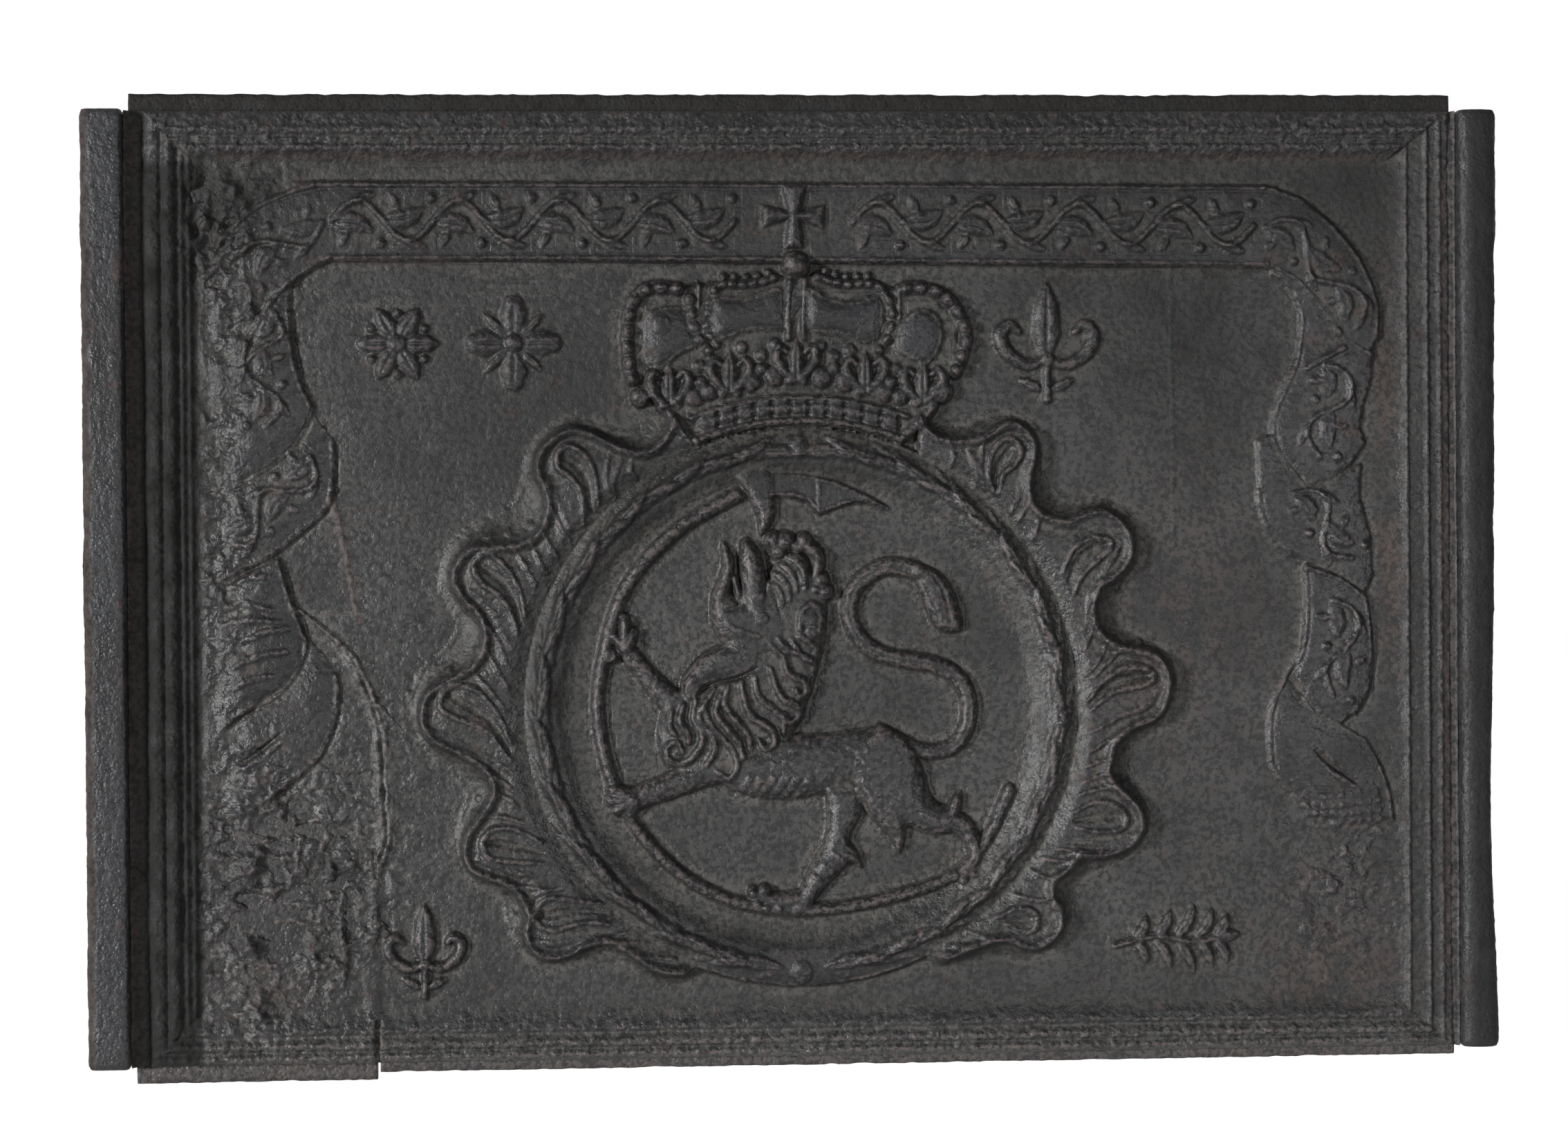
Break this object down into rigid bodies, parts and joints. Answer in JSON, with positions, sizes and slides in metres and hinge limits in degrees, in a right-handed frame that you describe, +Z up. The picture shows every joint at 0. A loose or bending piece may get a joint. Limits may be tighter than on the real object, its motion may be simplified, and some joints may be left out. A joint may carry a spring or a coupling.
{
  "type": "stove plate",
  "caption": "Cast-iron side plate of a plate stove: moulded frame with edge rolls, and a relief of a crowned lion with an axe in a laurel medallion under a banner.",
  "frame": {"origin": "middle of the bottom of the bounding box, under the lower edge of the dropped corner's tongue", "axes": "+Z up as the plate stands in the stove, +X to the right seen from the carved face, which looks towards -Y; the plain back looks towards +Y"},
  "size_m": [0.94, 0.03, 0.651],
  "materials": {
    "cast_iron_frame": "old bare casting, pitted, worn smooth and grey on the rolls with brown rust at the edges",
    "cast_iron_field": "sand-cast skin, fine grain and pits, dark grey with grey dust in the hollows",
    "cast_iron_relief": "sand-cast relief, dark grey, brown on the worn ridges and pale dust at its foot"
  },
  "bodies": {
    "root": {"acanthus_left_lobe_1": "cast_iron_relief", "acanthus_left_lobe_2": "cast_iron_relief", "acanthus_left_lobe_3": "cast_iron_relief", "acanthus_left_lobe_4": "cast_iron_relief", "acanthus_left_lobe_5": "cast_iron_relief", "acanthus_right_lobe_1": "cast_iron_relief", "acanthus_right_lobe_2": "cast_iron_relief", "acanthus_right_lobe_3": "cast_iron_relief", "acanthus_right_lobe_4": "cast_iron_relief", "acanthus_right_lobe_5": "cast_iron_relief", "axe_blade": "cast_iron_relief", "axe_shaft": "cast_iron_relief", "banner_leaf_run": "cast_iron_relief", "banner_left_fold": "cast_iron_relief", "banner_left_tail": "cast_iron_relief", "banner_left_turn": "cast_iron_relief", "banner_right_fold": "cast_iron_relief", "banner_right_tail": "cast_iron_relief", "banner_right_turn": "cast_iron_relief", "banner_top_band": "cast_iron_relief", "bottom_moulding_left": "cast_iron_frame", "bottom_moulding_right": "cast_iron_frame", "bottom_tongue_left": "cast_iron_frame", "bottom_tongue_right": "cast_iron_frame", "crown_arches": "cast_iron_relief", "crown_band": "cast_iron_relief", "crown_berries": "cast_iron_relief", "crown_cap": "cast_iron_relief", "crown_cross": "cast_iron_relief", "crown_orb": "cast_iron_relief", "field_panel": "cast_iron_field", "left_edge_roll": "cast_iron_frame", "left_moulding": "cast_iron_frame", "lion_front_hind_leg": "cast_iron_relief", "lion_head": "cast_iron_relief", "lion_head_crown": "cast_iron_relief", "lion_lower_foreleg": "cast_iron_relief", "lion_mane": "cast_iron_relief", "lion_raised_foreleg": "cast_iron_relief", "lion_rear_hind_leg": "cast_iron_relief", "lion_tail": "cast_iron_relief", "lion_torso": "cast_iron_relief", "lower_left_fleuron": "cast_iron_relief", "lower_right_sprig": "cast_iron_relief", "medallion_dish": "cast_iron_field", "right_edge_roll": "cast_iron_frame", "right_moulding": "cast_iron_frame", "top_moulding": "cast_iron_frame", "top_tongue": "cast_iron_frame", "upper_left_quatrefoil": "cast_iron_relief", "upper_left_rosette": "cast_iron_relief", "upper_right_fleuron": "cast_iron_relief", "wreath_bottom_boss": "cast_iron_relief", "wreath_left_branch": "cast_iron_relief", "wreath_right_branch": "cast_iron_relief", "wreath_top_boss": "cast_iron_relief"}
  },
  "joints": []
}
